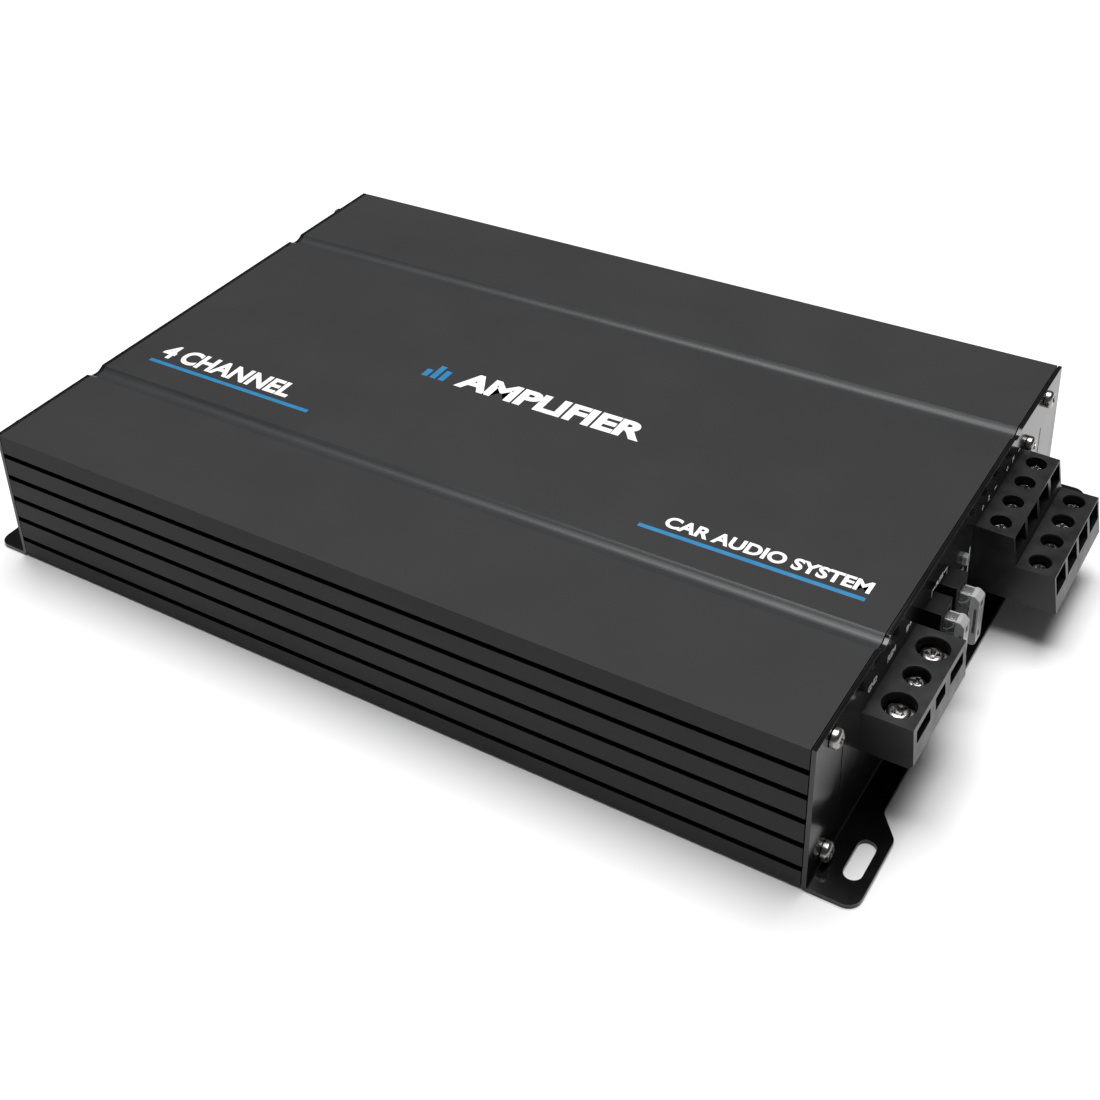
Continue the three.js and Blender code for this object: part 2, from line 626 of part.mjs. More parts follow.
buildCase();
buildBottomCover();
buildTerminalPlate();
buildInputPlate();
buildFixingScrews();
buildBoard();
buildPowerBlock();
buildSpeakerBlock();
buildFuses();
buildLamp();
buildSockets();
buildControls();
buildInnerParts();

export default group;
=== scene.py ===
# Looks of a four-channel car amplifier, built round its CAD frame. Metres, +Z up, +X towards the terminals.
import json
import math

import bmesh
import bpy
from mathutils import Matrix, Vector

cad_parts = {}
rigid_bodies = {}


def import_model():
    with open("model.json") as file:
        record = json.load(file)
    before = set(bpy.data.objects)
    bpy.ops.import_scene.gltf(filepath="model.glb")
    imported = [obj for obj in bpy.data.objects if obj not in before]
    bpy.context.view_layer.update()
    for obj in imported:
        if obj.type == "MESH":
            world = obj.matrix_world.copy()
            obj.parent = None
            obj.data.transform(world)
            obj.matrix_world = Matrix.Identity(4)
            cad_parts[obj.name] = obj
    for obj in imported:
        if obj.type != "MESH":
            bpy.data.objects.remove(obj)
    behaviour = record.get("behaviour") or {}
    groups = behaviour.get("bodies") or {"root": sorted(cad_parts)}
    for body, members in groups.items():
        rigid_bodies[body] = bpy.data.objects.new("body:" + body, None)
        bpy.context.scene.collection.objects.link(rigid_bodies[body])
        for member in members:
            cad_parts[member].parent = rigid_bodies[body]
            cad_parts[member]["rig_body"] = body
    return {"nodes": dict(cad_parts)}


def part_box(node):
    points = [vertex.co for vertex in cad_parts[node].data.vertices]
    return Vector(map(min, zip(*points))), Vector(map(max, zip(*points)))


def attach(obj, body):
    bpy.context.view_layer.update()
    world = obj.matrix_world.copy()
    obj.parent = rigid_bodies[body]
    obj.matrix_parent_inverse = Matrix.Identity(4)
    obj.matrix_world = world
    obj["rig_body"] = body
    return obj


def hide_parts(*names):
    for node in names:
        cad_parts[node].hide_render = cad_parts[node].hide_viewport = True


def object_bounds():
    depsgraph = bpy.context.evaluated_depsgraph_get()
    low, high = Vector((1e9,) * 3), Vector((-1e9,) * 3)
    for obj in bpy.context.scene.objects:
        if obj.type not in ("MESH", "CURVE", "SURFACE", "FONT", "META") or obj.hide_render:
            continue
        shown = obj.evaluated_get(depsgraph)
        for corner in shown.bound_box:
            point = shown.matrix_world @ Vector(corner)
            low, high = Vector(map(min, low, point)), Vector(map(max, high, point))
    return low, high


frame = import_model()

cad_low, cad_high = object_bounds()

MM = 0.001
ROOT = "amplifier"

# Planes of the case, from the CAD frame
case_low, case_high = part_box("case_extrusion")
END_TO_FACE = 1.7 * MM
FACE_X = case_high.x + END_TO_FACE
INPUT_X = case_low.x - END_TO_FACE
TOP_Z = case_high.z
CASE_X = case_low.x
SIDE_DRAFT = 2.1 * MM
NEAR_Y = case_low.y + SIDE_DRAFT

# Camera: position, the point that it looks at, the roll of its picture, its lens and its lens shift
CAMERA_AT = (0.2580, -0.3905, 0.3633)
CAMERA_AIM = (-0.0316, 0.0483, 0.0260)
CAMERA_ROLL = 3.12
CAMERA_LENS = 52.65
CAMERA_SHIFT_Y = -0.1545


# ---------------------------------------------------------------- mesh helpers

def new_object(name, bm, *materials):
    """A smooth-shaded object made from a bmesh, with its sharp corners kept sharp."""
    mesh = bpy.data.meshes.new(name)
    bm.to_mesh(mesh)
    bm.free()
    return object_of(name, mesh, *materials)


def object_of(name, mesh, *materials):
    mesh.materials.clear()
    for material in materials:
        mesh.materials.append(material)
    mesh.shade_smooth()
    mesh.set_sharp_from_angle(angle=math.radians(32))
    obj = bpy.data.objects.new(name, mesh)
    bpy.context.scene.collection.objects.link(obj)
    return obj


def prism(points, axis, low, high):
    """Closed prism: a 2-D outline run along one axis."""
    place = {
        "X": lambda a, b, c: (c, a, b),
        "Y": lambda a, b, c: (a, c, b),
        "Z": lambda a, b, c: (a, b, c),
    }[axis]
    bm = bmesh.new()
    ends = [[bm.verts.new(place(a, b, c)) for a, b in points] for c in (low, high)]
    for end in ends:
        bm.faces.new(end)
    for i in range(len(points)):
        j = (i + 1) % len(points)
        bm.faces.new((ends[0][i], ends[0][j], ends[1][j], ends[1][i]))
    bmesh.ops.recalc_face_normals(bm, faces=bm.faces)
    return bm


def block(low, high):
    """Closed box between two corners."""
    outline = [(low[0], low[1]), (high[0], low[1]), (high[0], high[1]), (low[0], high[1])]
    return prism(outline, "Z", low[2], high[2])


def lathe(profile, segments=48, ripple=None):
    """Closed solid of [radius, height] pairs turned about Z. ripple scales the radius by angle."""
    bm = bmesh.new()
    rings = []
    for radius, height in profile:
        count = 1 if radius == 0 else segments
        ring = []
        for k in range(count):
            angle = 2 * math.pi * k / segments
            reach = radius * (ripple(angle, radius) if ripple else 1)
            ring.append(bm.verts.new((reach * math.cos(angle), reach * math.sin(angle), height)))
        rings.append(ring)
    pairs = list(zip(rings, rings[1:]))
    if len(rings[0]) > 1 and len(rings[-1]) > 1:
        pairs.append((rings[-1], rings[0]))
    for a, b in pairs:
        for k in range(segments):
            m = (k + 1) % segments
            corners = [a[k % len(a)], a[m % len(a)], b[m % len(b)], b[k % len(b)]]
            bm.faces.new(list(dict.fromkeys(corners)))
    bmesh.ops.recalc_face_normals(bm, faces=bm.faces)
    return bm


def merged(*parts):
    """One bmesh that holds several."""
    whole = bmesh.new()
    for part in parts:
        mesh = bpy.data.meshes.new("part")
        part.to_mesh(mesh)
        part.free()
        whole.from_mesh(mesh)
        bpy.data.meshes.remove(mesh)
    return whole


def moved(bm, *matrices):
    for matrix in matrices:
        bmesh.ops.transform(bm, matrix=matrix, verts=bm.verts)
    return bm


def shift(x, y, z):
    return Matrix.Translation((x, y, z))


TO_X = Matrix.Rotation(math.radians(90), 4, "Y")


def flatten_modifiers(obj):
    """Makes the modified mesh the object's own."""
    graph = bpy.context.evaluated_depsgraph_get()
    mesh = bpy.data.meshes.new_from_object(obj.evaluated_get(graph))
    obj.modifiers.clear()
    obj.data = mesh


def carve(obj, *tools, lining=None):
    """Cuts bmesh tools out of obj, one after another. The cut faces take the lining, if any."""
    for bm in tools:
        tool = new_object("tool", bm, *([lining] if lining else []))
        cut = obj.modifiers.new("cut", "BOOLEAN")
        cut.operation = "DIFFERENCE"
        cut.solver = "EXACT"
        cut.material_mode = "TRANSFER" if lining else "INDEX"
        cut.object = tool
        flatten_modifiers(obj)
        bpy.data.objects.remove(tool)
    tidy = bmesh.new()
    tidy.from_mesh(obj.data)
    bmesh.ops.remove_doubles(tidy, verts=tidy.verts, dist=0.004 * MM)
    bmesh.ops.dissolve_limit(tidy, angle_limit=math.radians(0.5), verts=tidy.verts, edges=tidy.edges)
    tidy.to_mesh(obj.data)
    tidy.free()
    obj.data.shade_smooth()
    obj.data.set_sharp_from_angle(angle=math.radians(32))


def soften(obj, width, segments=2, angle=32):
    """Rounds the corners of a piece."""
    bevel = obj.modifiers.new("soft_corners", "BEVEL")
    bevel.width = width
    bevel.segments = segments
    bevel.limit_method = "ANGLE"
    bevel.angle_limit = math.radians(angle)
    bevel.harden_normals = True
    bevel.use_clamp_overlap = True
    return obj


def stand_in(obj, body, slot, *nodes):
    """obj rides on a body and stands for CAD nodes, which it hides; slot is not used."""
    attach(obj, body)
    if nodes:
        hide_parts(*nodes)
    return obj


def refined(node, material, slot, width, segments=2):
    """A CAD node's own shape, with its flat faces whole and its corners rounded."""
    bm = bmesh.new()
    bm.from_mesh(frame["nodes"][node].data)
    bmesh.ops.remove_doubles(bm, verts=bm.verts, dist=0.002 * MM)
    bmesh.ops.dissolve_limit(bm, angle_limit=math.radians(0.3), verts=bm.verts, edges=bm.edges)
    obj = new_object(f"{node}_shell", bm, material)
    soften(obj, width, segments)
    return stand_in(obj, body_of(node), slot, node)


def body_of(node):
    return frame["nodes"][node]["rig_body"]


def centre_of(node):
    low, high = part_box(node)
    return (low + high) / 2


# ---------------------------------------------------------------- material helpers

def put(tree, socket, value):
    if isinstance(value, bpy.types.NodeSocket):
        tree.links.new(value, socket)
    else:
        socket.default_value = value


def add(tree, kind, sockets=None, **settings):
    """A node with its sockets set or linked."""
    node = tree.nodes.new(f"ShaderNode{kind}")
    for key, value in settings.items():
        setattr(node, key, value)
    for key, value in (sockets or {}).items():
        put(tree, node.inputs[key], value)
    return node


def noise(tree, size, detail=3, stretch=(1, 1, 1)):
    """Soft noise whose lumps are about size metres, stretched along some axes."""
    where = add(tree, "TexCoord").outputs["Object"]
    scale = [1 / (size * factor) for factor in stretch]
    mapped = add(tree, "Mapping", {"Vector": where, "Scale": scale}).outputs["Vector"]
    return add(tree, "TexNoise", {"Vector": mapped, "Scale": 1, "Detail": detail}).outputs["Fac"]


def spread(tree, value, low, high, start=0.3, end=0.7):
    """Maps a value from start..end to low..high."""
    sockets = {"Value": value, "From Min": start, "From Max": end, "To Min": low, "To Max": high}
    return add(tree, "MapRange", sockets).outputs["Result"]


def blend_colors(tree, factor, first, second):
    mix = add(tree, "Mix", data_type="RGBA")
    put(tree, mix.inputs[0], factor)
    for socket, color in ((mix.inputs[6], first), (mix.inputs[7], second)):
        put(tree, socket, color if isinstance(color, bpy.types.NodeSocket) else (*color, 1))
    return mix.outputs[2]


def edge_mask(tree, radius):
    """Near 1 on corners sharper than radius, 0 on flats."""
    soft = add(tree, "Bevel", {"Radius": radius}, samples=4).outputs["Normal"]
    flat = add(tree, "NewGeometry").outputs["Normal"]
    dot = add(tree, "VectorMath", operation="DOT_PRODUCT")
    tree.links.new(soft, dot.inputs[0])
    tree.links.new(flat, dot.inputs[1])
    return spread(tree, dot.outputs["Value"], 1, 0, 0.86, 0.985)


def bumped(tree, shader, layers):
    """Stacks bump layers of (height, depth in metres)."""
    normal = None
    for height, depth in layers:
        bump = add(tree, "Bump", {"Strength": 1, "Distance": depth, "Height": height})
        if normal:
            tree.links.new(normal, bump.inputs["Normal"])
        normal = bump.outputs["Normal"]
    tree.links.new(normal, shader.inputs["Normal"])


def blank(name, **sockets):
    """A material with a Principled shader whose even values are set on its own sockets."""
    material = bpy.data.materials.new(name)
    material.use_nodes = True
    tree = material.node_tree
    shader = tree.nodes["Principled BSDF"]
    for key, value in sockets.items():
        shader.inputs[key.replace("_", " ")].default_value = value
    return material, tree, shader


def surface(name, tones, gloss, grain, relief, cloud=14 * MM, stretch=(1, 1, 1), wear=None, **sockets):
    """Two tones clouded together, roughness that varies, a raised grain, and paler worn corners."""
    material, tree, shader = blank(name, **sockets)
    clouds = noise(tree, cloud, 4, stretch)
    fine = noise(tree, grain, 2, stretch)
    color = blend_colors(tree, spread(tree, clouds, 0, 1), *tones)
    speck = spread(tree, fine, 0, 0.35)
    color = blend_colors(tree, speck, color, tones[1])
    if wear:
        tone, radius = wear
        ragged = add(tree, "Math", operation="MULTIPLY")
        tree.links.new(edge_mask(tree, radius), ragged.inputs[0])
        tree.links.new(spread(tree, noise(tree, 1.6 * MM), 0.2, 1), ragged.inputs[1])
        color = blend_colors(tree, ragged.outputs[0], color, tone)
    tree.links.new(color, shader.inputs["Base Color"])
    tree.links.new(spread(tree, clouds, *gloss), shader.inputs["Roughness"])
    bumped(tree, shader, [(fine, relief)])
    return material


def case_finish(name, tones, gloss, sheen):
    """Black anodised aluminium: a fine even grain, faint drawing lines along the case."""
    material, tree, shader = blank(name, Specular_IOR_Level=sheen)
    lines = noise(tree, 0.5 * MM, 2, (260, 1, 1))
    grain = noise(tree, 0.16 * MM, 2)
    clouds = noise(tree, 30 * MM, 4)
    color = blend_colors(tree, spread(tree, clouds, 0, 1), tones[0], tones[1])
    color = blend_colors(tree, spread(tree, grain, 0, 0.5), color, tones[2])
    corners = add(tree, "Math", operation="MULTIPLY")
    tree.links.new(edge_mask(tree, 0.35 * MM), corners.inputs[0])
    tree.links.new(spread(tree, noise(tree, 3 * MM), 0.1, 0.8), corners.inputs[1])
    color = blend_colors(tree, corners.outputs[0], color, [2.2 * tone for tone in tones[1]])
    tree.links.new(color, shader.inputs["Base Color"])
    tree.links.new(spread(tree, lines, *gloss), shader.inputs["Roughness"])
    bumped(tree, shader, [(grain, 0.012 * MM), (lines, 0.004 * MM)])
    return material


def plate_finish():
    """Satin black paint on sheet steel: slight orange peel and soft changes of gloss."""
    material, tree, shader = blank("painted_plate")
    peel = noise(tree, 0.9 * MM, 2)
    dust = noise(tree, 0.2 * MM, 2)
    clouds = noise(tree, 18 * MM, 4)
    paint = (0.0022, 0.0023, 0.0025), (0.004, 0.0041, 0.0043)
    color = blend_colors(tree, spread(tree, clouds, 0, 1), *paint)
    worn = add(tree, "Math", operation="MULTIPLY")
    tree.links.new(edge_mask(tree, 0.3 * MM), worn.inputs[0])
    tree.links.new(spread(tree, noise(tree, 2.4 * MM), 0.1, 0.9), worn.inputs[1])
    color = blend_colors(tree, worn.outputs[0], color, (0.07, 0.07, 0.07))
    tree.links.new(color, shader.inputs["Base Color"])
    tree.links.new(spread(tree, clouds, 0.13, 0.20), shader.inputs["Roughness"])
    bumped(tree, shader, [(peel, 0.005 * MM), (dust, 0.0015 * MM)])
    return material


def board_finish():
    """Green solder mask with copper tracks under it."""
    material, tree, shader = blank("solder_mask", Coat_Weight=0.3, Coat_Roughness=0.2, Specular_IOR_Level=0.5)
    where = add(tree, "TexCoord").outputs["Object"]
    brick = add(tree, "TexBrick", {"Vector": where, "Scale": 110, "Mortar Size": 0.05})
    tracks = brick.outputs["Fac"]
    cloud = noise(tree, 9 * MM, 3)
    mask = blend_colors(tree, spread(tree, cloud, 0, 1), (0.010, 0.085, 0.035), (0.014, 0.110, 0.045))
    color = blend_colors(tree, tracks, mask, (0.030, 0.190, 0.080))
    tree.links.new(color, shader.inputs["Base Color"])
    tree.links.new(spread(tree, cloud, 0.32, 0.45), shader.inputs["Roughness"])
    bumped(tree, shader, [(tracks, 0.03 * MM)])
    return material


def winding_finish(centre):
    """Enamelled copper turns that run round the ring's section, darker in the creases between turns as
    painted shade.
    """
    material, tree, shader = blank("copper_winding", Metallic=0.8, Coat_Weight=0.5, Coat_Roughness=0.1)
    where = add(tree, "TexCoord").outputs["Object"]
    local = add(tree, "Mapping", {"Vector": where, "Location": [-c for c in centre]}).outputs["Vector"]
    split = add(tree, "SeparateXYZ", {"Vector": local})
    angle = add(tree, "Math", operation="ARCTAN2")
    tree.links.new(split.outputs["Y"], angle.inputs[0])
    tree.links.new(split.outputs["X"], angle.inputs[1])
    turns = add(tree, "Math", {1: 110.0}, operation="MULTIPLY")
    tree.links.new(angle.outputs[0], turns.inputs[0])
    wave = add(tree, "Math", operation="SINE")
    tree.links.new(turns.outputs[0], wave.inputs[0])
    height = spread(tree, wave.outputs[0], 0, 1, -1, 1)
    # Painted shade: the copper is painted dark down in the creases between turns and keeps its own colour on
    # their crests.
    color = blend_colors(tree, height, (0.10, 0.035, 0.012), (0.62, 0.27, 0.09))
    tree.links.new(color, shader.inputs["Base Color"])
    tree.links.new(spread(tree, noise(tree, 3 * MM), 0.22, 0.36), shader.inputs["Roughness"])
    bumped(tree, shader, [(height, 0.35 * MM)])
    return material


def clear_finish(name, tint, roughness, transmission):
    """Clear moulding with faint flow marks."""
    material, tree, shader = blank(name, Transmission_Weight=transmission, IOR=1.49)
    flow = noise(tree, 3.5 * MM, 3, (1, 1, 2.5))
    fine = noise(tree, 0.35 * MM, 2)
    color = blend_colors(tree, spread(tree, flow, 0, 1), tint, [0.93 * c for c in tint])
    tree.links.new(color, shader.inputs["Base Color"])
    tree.links.new(spread(tree, flow, *roughness), shader.inputs["Roughness"])
    bumped(tree, shader, [(flow, 0.03 * MM), (fine, 0.004 * MM)])
    return material


case_metal = case_finish(
    "anodised_case",
    ((0.031, 0.031, 0.0313), (0.036, 0.0359, 0.0357), (0.046, 0.046, 0.046)), (0.42, 0.52), 0.07)
cove_metal = case_finish(
    "anodised_cove",
    ((0.022, 0.024, 0.025), (0.028, 0.030, 0.031), (0.048, 0.052, 0.053)), (0.30, 0.42), 0.28)
# Near-black copy of the case finish: painted shade for the inside of the side grooves.
groove_painted_shade = case_finish(
    "anodised_groove_painted_shade",
    ((0.004, 0.004, 0.004), (0.006, 0.006, 0.006), (0.009, 0.009, 0.009)), (0.45, 0.6), 0.1)
plate_paint = plate_finish()
screw_nickel = surface(
    "nickel_plate", ((0.24, 0.235, 0.23), (0.40, 0.39, 0.38)), (0.20, 0.34), 0.25 * MM, 0.006 * MM,
    cloud=1.2 * MM, Metallic=1.0)
block_plastic = surface(
    "moulded_block", ((0.0045, 0.0046, 0.0048), (0.0075, 0.0076, 0.0078)), (0.30, 0.42),
    0.16 * MM, 0.010 * MM, cloud=6 * MM, wear=((0.03, 0.03, 0.03), 0.3 * MM), Specular_IOR_Level=0.46)
# Darker copy of the block plastic: painted shade for the walls of the wells, wire mouths and chambers.
recess_painted_shade = surface(
    "moulded_recess_painted_shade", ((0.0016, 0.0016, 0.0017), (0.003, 0.003, 0.0031)), (0.5, 0.65),
    0.2 * MM, 0.012 * MM, cloud=4 * MM, Specular_IOR_Level=0.1)
clamp_tin = surface(
    "tinned_clamp", ((0.50, 0.49, 0.46), (0.66, 0.65, 0.61)), (0.25, 0.42), 0.3 * MM, 0.01 * MM,
    cloud=1.5 * MM, Metallic=1.0)
fuse_clear = clear_finish("clear_fuse", (0.80, 0.81, 0.805), (0.03, 0.10), 0.88)
fuse_frost = clear_finish("frosted_grip", (0.62, 0.63, 0.625), (0.10, 0.22), 0.42)
# Grey copy of the clear plastic: painted shade for the test holes and side grooves of the grip.
fuse_shade = clear_finish("fuse_recess_painted_shade", (0.14, 0.14, 0.14), (0.2, 0.35), 0.3)
fuse_zinc = surface(
    "zinc_strip", ((0.66, 0.67, 0.69), (0.82, 0.83, 0.85)), (0.2, 0.36), 0.3 * MM, 0.008 * MM,
    cloud=2 * MM, stretch=(3, 1, 1), Metallic=1.0)
holder_plastic = surface(
    "moulded_holder", ((0.0020, 0.0020, 0.0022), (0.0034, 0.0034, 0.0036)), (0.40, 0.54),
    0.18 * MM, 0.012 * MM, cloud=5 * MM, wear=((0.012, 0.012, 0.012), 0.25 * MM), Specular_IOR_Level=0.2)
lamp_milk = clear_finish("milky_lens", (0.40, 0.415, 0.415), (0.2, 0.35), 0.2)
socket_gold = surface(
    "gold_plate", ((0.72, 0.50, 0.17), (0.86, 0.62, 0.24)), (0.14, 0.26), 0.2 * MM, 0.005 * MM,
    cloud=2 * MM, Metallic=1.0)
socket_red = surface(
    "red_insert", ((0.42, 0.012, 0.010), (0.52, 0.02, 0.016)), (0.3, 0.42), 0.2 * MM, 0.008 * MM,
    cloud=2 * MM)
socket_white = surface(
    "white_insert", ((0.66, 0.65, 0.61), (0.76, 0.75, 0.71)), (0.3, 0.42), 0.2 * MM, 0.008 * MM,
    cloud=2 * MM)
knob_plastic = surface(
    "moulded_knob", ((0.014, 0.014, 0.0145), (0.021, 0.021, 0.0215)), (0.36, 0.5), 0.2 * MM, 0.012 * MM,
    cloud=3 * MM, wear=((0.06, 0.06, 0.06), 0.2 * MM))
sleeve_plastic = surface(
    "printed_sleeve", ((0.010, 0.014, 0.045), (0.016, 0.022, 0.060)), (0.2, 0.32), 0.5 * MM, 0.01 * MM,
    cloud=4 * MM)
ink_white = surface(
    "white_ink", ((0.80, 0.80, 0.79), (0.90, 0.90, 0.89)), (0.42, 0.55), 0.12 * MM, 0.006 * MM,
    cloud=2 * MM)
ink_blue = surface(
    "blue_ink", ((0.006, 0.165, 0.36), (0.008, 0.185, 0.40)), (0.40, 0.52), 0.12 * MM, 0.006 * MM,
    cloud=3 * MM)
solder_mask = board_finish()


# ---------------------------------------------------------------- case, plates and hidden parts

def side_y(z):
    """Half width of the case at a height: its sides lean in towards the top."""
    return -case_low.y - SIDE_DRAFT * (z - case_low.z) / (case_high.z - case_low.z)


def build_case():
    """The case, with brighter coves along its top and its side grooves painted near-black as painted shade.
    """
    case = refined("case_extrusion", case_metal, "case_aluminium", 0.22 * MM)
    case.data.materials.append(cove_metal)
    case.data.materials.append(groove_painted_shade)
    for face in case.data.polygons:
        depth = TOP_Z - face.center.z
        if 0.03 * MM < depth < 1.6 * MM and face.normal.z > 0.5:
            face.material_index = 1
        # Faces set in from the sides, more than 5 mm below the top, take the near-black painted shade of the
        # grooves.
        elif depth > 5 * MM and abs(face.center.y) < side_y(face.center.z) - 0.4 * MM:
            face.material_index = 2
    for node in ("terminal_end_plate", "input_end_plate"):
        refined(node, plate_paint, "plate_steel", 0.18 * MM)
    refined("bottom_cover", plate_paint, "plate_steel", 0.15 * MM, 1)


def build_inside():
    refined("circuit_board", solder_mask, "board_laminate", 0.15 * MM, 1)
    low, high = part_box("toroid_transformer")
    copper = winding_finish((low + high) / 2)
    refined("toroid_transformer", copper, "core_winding", 0.8 * MM, 3)
    for side in ("near", "far"):
        build_capacitor(f"capacitor_{side}")


def build_capacitor(node):
    """Can with a rolled neck above its foot and a crimped top."""
    low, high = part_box(node)
    radius, height = (high.x - low.x) / 2, high.z - low.z
    neck, crimp, lip = 2.2 * MM, 1.0 * MM, 0.8 * MM
    profile = [
        (0, 0), (radius - lip, 0), (radius, lip), (radius, neck), (radius - 0.7 * MM, neck + 0.7 * MM),
        (radius, neck + 1.4 * MM), (radius, height - crimp), (radius - 0.4 * MM, height - 0.3 * MM),
        (radius - 1.1 * MM, height), (radius - 1.5 * MM, height - 0.4 * MM), (0, height - 0.4 * MM),
    ]
    place = shift(*centre_of(node).xy, low.z)
    can = new_object(f"{node}_can", moved(lathe(profile, 64), place), sleeve_plastic)
    stand_in(can, body_of(node), "capacitor_sleeve", node)


# ---------------------------------------------------------------- screws

def cross_tool(size, top, depth):
    """Tapered Phillips recess: four arms that narrow towards their bottom."""
    arm, half = size / 2, size * 0.115
    root = half * 1.5
    outline = [
        (arm, half), (root, root), (half, arm), (-half, arm), (-root, root), (-arm, half),
        (-arm, -half), (-root, -root), (-half, -arm), (half, -arm), (root, -root), (arm, -half),
    ]
    above = 0.4 * MM
    bm = bmesh.new()
    rings = []
    for scale, z in ((1 + 0.5 * above / depth, top + above), (0.5, top - depth)):
        rings.append([bm.verts.new((x * scale, y * scale, z)) for x, y in outline])
    for ring in rings:
        bm.faces.new(ring)
    for i in range(len(outline)):
        j = (i + 1) % len(outline)
        bm.faces.new((rings[0][i], rings[0][j], rings[1][j], rings[1][i]))
    bmesh.ops.recalc_face_normals(bm, faces=bm.faces)
    return bm


def dome(radius, low, high, steps=7):
    """Profile of a pan head's rounded shoulder, from its rim at low to its crown at high."""
    points = []
    for k in range(steps + 1):
        angle = math.radians(90) * k / steps
        reach = radius * (0.55 + 0.45 * math.cos(angle))
        points.append((reach, low + (high - low) * math.sin(angle)))
    return points


def screw_mesh(name, radius, head, shank, length, recess, angle):
    """A pan head whose crown is at z 0, with its threaded shank below."""
    profile = [(0, -length), (shank * 0.8, -length)]
    pitch, z = 0.5 * MM, -length + 0.4 * MM
    while z < -head - pitch:
        profile += [(shank, z), (shank * 0.84, z + pitch / 2)]
        z += pitch
    profile += [(shank * 0.84, -head), (radius, -head), *dome(radius, -head * 0.55, 0), (0, 0)]
    turn = Matrix.Rotation(math.radians(angle), 4, "Z")
    obj = new_object(name, lathe(profile, 40), screw_nickel)
    carve(obj, moved(cross_tool(recess, 0, head * 0.75), turn))
    return soften(obj, 0.07 * MM, 2, 40)


def build_clamp_screws():
    """The screws down the wells of both terminal blocks."""
    nodes = sorted(n for n in frame["nodes"] if n.startswith(("power_screw_", "speaker_screw_")))
    for i, node in enumerate(nodes):
        low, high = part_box(node)
        radius = (high.x - low.x) / 2
        head, shank = (2.1 * MM, radius * 0.52) if node.startswith("power") else (1.6 * MM, 1.3 * MM)
        angle = (37 * i + 12) % 90
        screw = screw_mesh(f"{node}_head", radius, head, shank, high.z - low.z, radius * 1.35, angle)
        screw.location = (*centre_of(node).xy, high.z)
        stand_in(screw, body_of(node), "screw_steel", node)


def build_fixing_screws():
    """The screws that hold the end plates."""
    nodes = sorted(n for n in frame["nodes"] if "_plate_screw_" in n)
    for i, node in enumerate(nodes):
        low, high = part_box(node)
        radius, length = (high.z - low.z) / 2, high.x - low.x
        outwards = 1 if low.x > 0 else -1
        angle = (29 * i + 20) % 90
        screw = screw_mesh(f"{node}_head", radius, 2.4 * MM, 1.5 * MM, length, 3.6 * MM, angle)
        screw.rotation_euler = (0, outwards * math.radians(90), 0)
        crown = high.x if outwards > 0 else low.x
        screw.location = (crown, centre_of(node).y, centre_of(node).z)
        stand_in(screw, ROOT, "screw_steel", node)


# ---------------------------------------------------------------- terminal blocks

def well_tool(radius, floor, top):
    """A screw well with a small lead-in at its mouth."""
    lead = 0.35 * MM
    mouth = [(radius, top - lead), (radius + 2 * lead, top + lead), (0, top + lead)]
    return lathe([(0, floor), (radius, floor), *mouth], 56)


def rounded_slot(y0, y1, z0, z1, x0, x1, radius):
    """A slot along X with rounded corners."""
    points = []
    for cy, cz, start in ((y1, z1, 0), (y0, z1, 90), (y0, z0, 180), (y1, z0, 270)):
        inner_y = cy - radius if cy == y1 else cy + radius
        inner_z = cz - radius if cz == z1 else cz + radius
        for k in range(4):
            angle = math.radians(start + 30 * k)
            points.append((inner_y + radius * math.cos(angle), inner_z + radius * math.sin(angle)))
    return prism(points, "X", x0, x1)


def pole_tools(x, y, top, face, well, mouth, mouth_top, ceiling, floor, plate, shank):
    """What is cut for one pole: well, bore of the thread, wire mouth, chamber of the clamp plate."""
    half, base = mouth / 2, top - floor
    front, back = x + well + 0.5 * MM, x - plate / 2 - 0.4 * MM
    radius, end, start = shank + 0.4 * MM, base - 6.4 * MM, base + 1 * MM
    bore = [(0, end), (radius, end), (radius, start), (0, start)]
    return (
        moved(well_tool(well, base + 0.1 * MM, top), shift(x, y, 0)),
        moved(lathe(bore, 24), shift(x, y, 0)),
        rounded_slot(y - half, y + half, base, top - mouth_top, front - 0.2 * MM, face + 3 * MM, 0.4 * MM),
        block((back, y - half + 0.4 * MM, base + 0.05 * MM), (front, y + half - 0.4 * MM, top - ceiling)),
    )


def carve_poles(obj, poles):
    """Cuts each kind of tool for all poles at once, since those of one kind lie apart."""
    kinds = list(zip(*(pole_tools(**pole) for pole in poles)))
    # The cut faces of wells, mouths and chambers take the darker painted shade.
    carve(obj, *(merged(*tools) for tools in kinds), lining=recess_painted_shade)


def build_power_block():
    low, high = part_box("power_terminal_block")
    top, bottom = high.z, high.z - 14.7 * MM
    front_top, front_low = FACE_X + 15.2 * MM, high.x
    back, base = low.x, FACE_X - 2.2 * MM
    outline = [
        (back, low.z), (base, low.z), (base, bottom),
        (front_low - 1.4 * MM, bottom), (front_low, bottom + 1.4 * MM), (front_top, top), (back, top),
    ]
    obj = new_object("power_block_moulding", prism(outline, "Y", low.y, high.y), block_plastic)
    poles = []
    sizes = {"ground": (4.85, 10.6, 1.9), "remote": (3.8, 7.8, 1.5), "battery": (4.85, 10.6, 1.9)}
    for tag, (well, mouth, shank) in sizes.items():
        centre = centre_of(f"power_screw_{tag}")
        poles.append(dict(
            x=centre.x, y=centre.y, top=top, face=front_low, well=well * MM, mouth=mouth * MM,
            mouth_top=2.2 * MM, ceiling=2.6 * MM, floor=6.8 * MM, plate=8 * MM, shank=shank * MM))
    carve_poles(obj, poles)
    soften(obj, 0.45 * MM, 3)
    stand_in(obj, ROOT, "terminal_plastic", "power_terminal_block")


